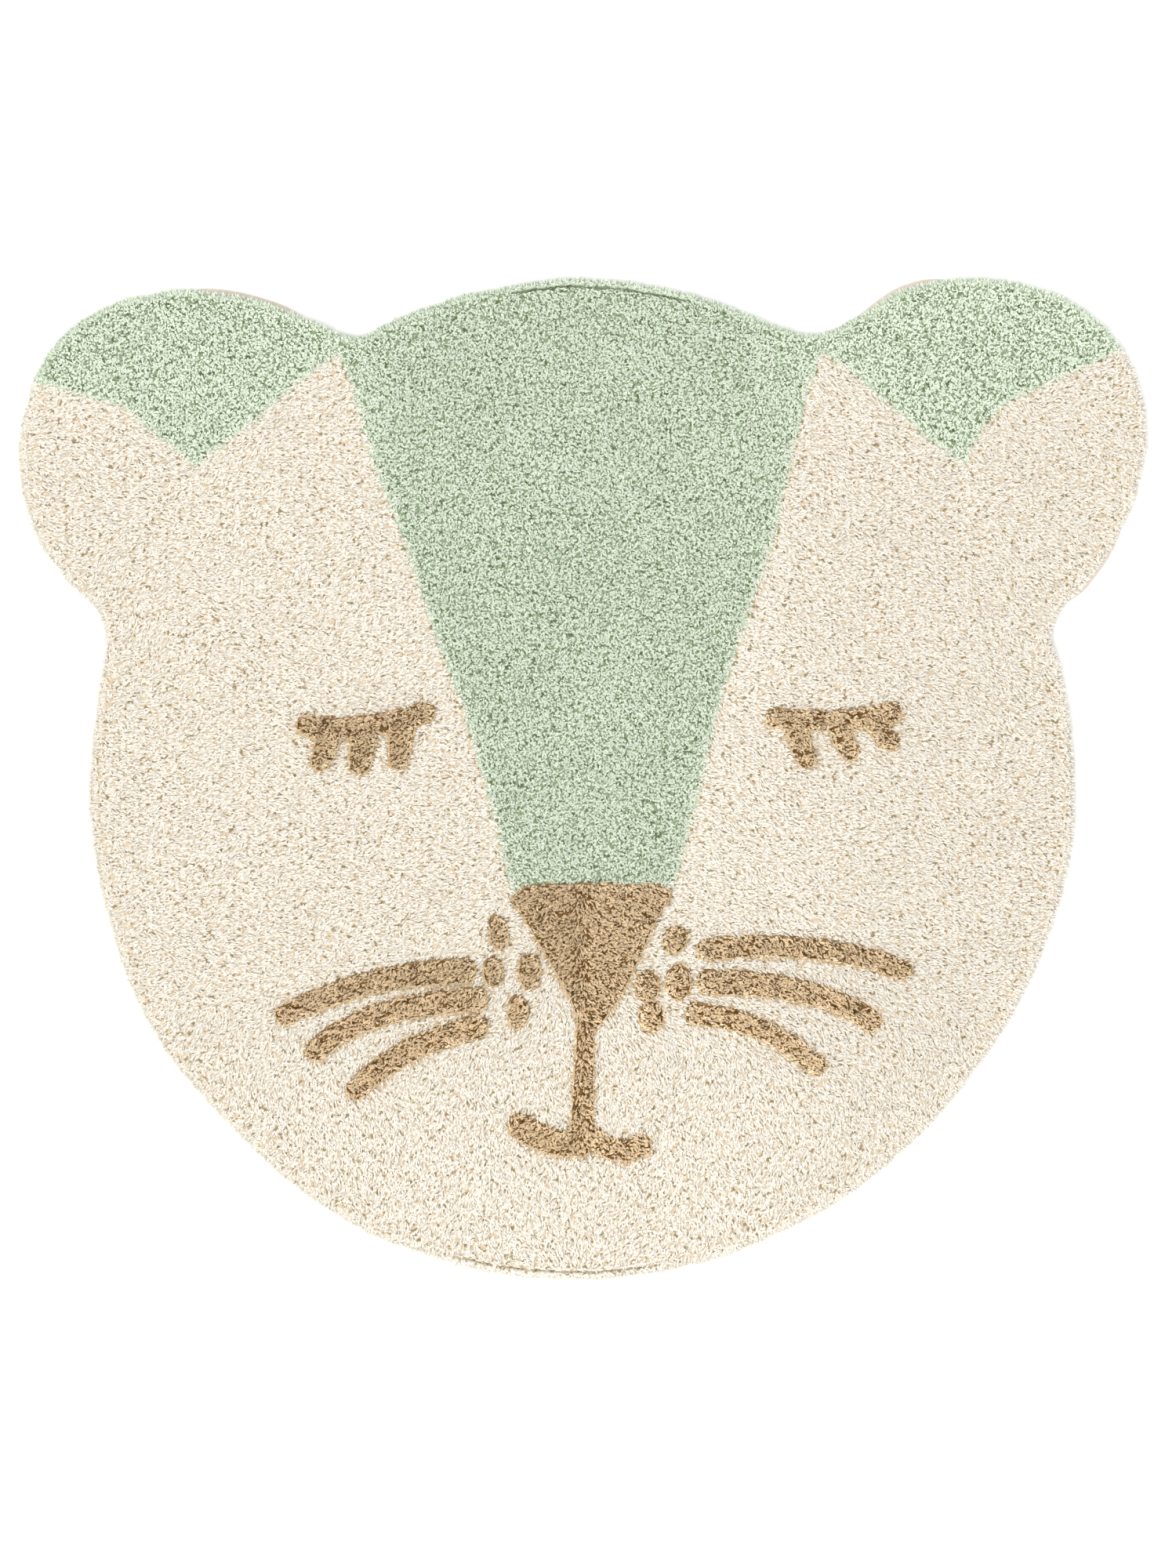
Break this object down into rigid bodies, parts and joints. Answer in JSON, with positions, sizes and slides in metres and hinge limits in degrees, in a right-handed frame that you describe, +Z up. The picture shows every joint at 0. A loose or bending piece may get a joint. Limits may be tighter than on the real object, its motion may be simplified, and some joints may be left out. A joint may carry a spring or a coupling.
{
  "type": "animal shaped kids rug",
  "caption": "Flat tufted cotton nursery rug in the outline of a sleeping animal's head, with a cream and sage pile, raised tan features and a hemmed canvas backing.",
  "frame": {"origin": "middle of the bounding box, on the underside of the backing where it meets the floor", "axes": "+Z up out of the pile, +X to the right across the face as seen from above, +Y from the chin to the ears"},
  "size_m": [1.2004, 1.0668, 0.0217],
  "materials": {
    "pile_cream": "matte tufted cotton pile, cream",
    "pile_sage": "matte tufted cotton pile, sage green",
    "pile_tan": "matte tufted cotton pile, tan",
    "backing": "matte cotton canvas, natural beige"
  },
  "bodies": {
    "root": {"pile": "pile_cream", "backing": "backing"}
  },
  "joints": []
}
